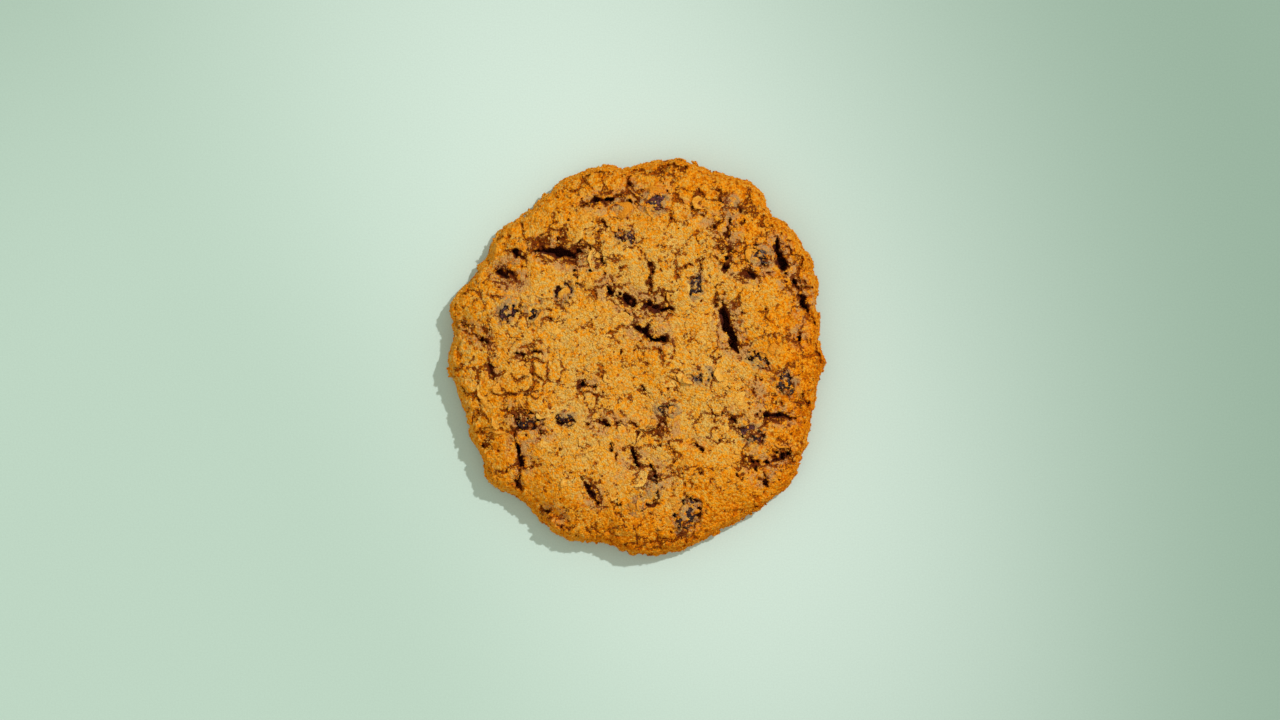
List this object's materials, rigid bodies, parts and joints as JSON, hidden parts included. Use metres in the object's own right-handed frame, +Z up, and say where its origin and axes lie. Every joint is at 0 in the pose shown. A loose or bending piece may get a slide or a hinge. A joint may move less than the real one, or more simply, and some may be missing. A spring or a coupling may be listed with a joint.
{
  "type": "oatmeal raisin cookie",
  "caption": "Round hand-dropped oatmeal raisin cookie with a cracked, pillowed top, a rounded uneven edge, sunken raisins and a flat underside.",
  "frame": {"origin": "on the flat underside, at the middle of the cookie's bounding box seen from above", "axes": "+Z up through the cracked top, +Y along the cookie's longest way across, +X across it"},
  "size_m": [0.0936, 0.098, 0.0147],
  "materials": {
    "baked_dough": "matte",
    "raisin_skin": "satin"
  },
  "bodies": {
    "root": {"dough": "baked_dough", "raisin_north": "raisin_skin", "raisin_north_west": "raisin_skin", "raisin_upper": "raisin_skin", "raisin_slit": "raisin_skin", "raisin_west": "raisin_skin", "raisin_west_inner": "raisin_skin", "raisin_bow": "raisin_skin", "raisin_south_west": "raisin_skin", "raisin_arch": "raisin_skin", "raisin_middle": "raisin_skin", "raisin_east": "raisin_skin", "raisin_inner_north": "raisin_skin", "raisin_north_east": "raisin_skin", "raisin_north_rim": "raisin_skin", "raisin_east_gap": "raisin_skin", "raisin_east_rim": "raisin_skin", "raisin_south_east": "raisin_skin", "raisin_round": "raisin_skin", "raisin_south": "raisin_skin", "raisin_south_rim": "raisin_skin"}
  },
  "joints": []
}
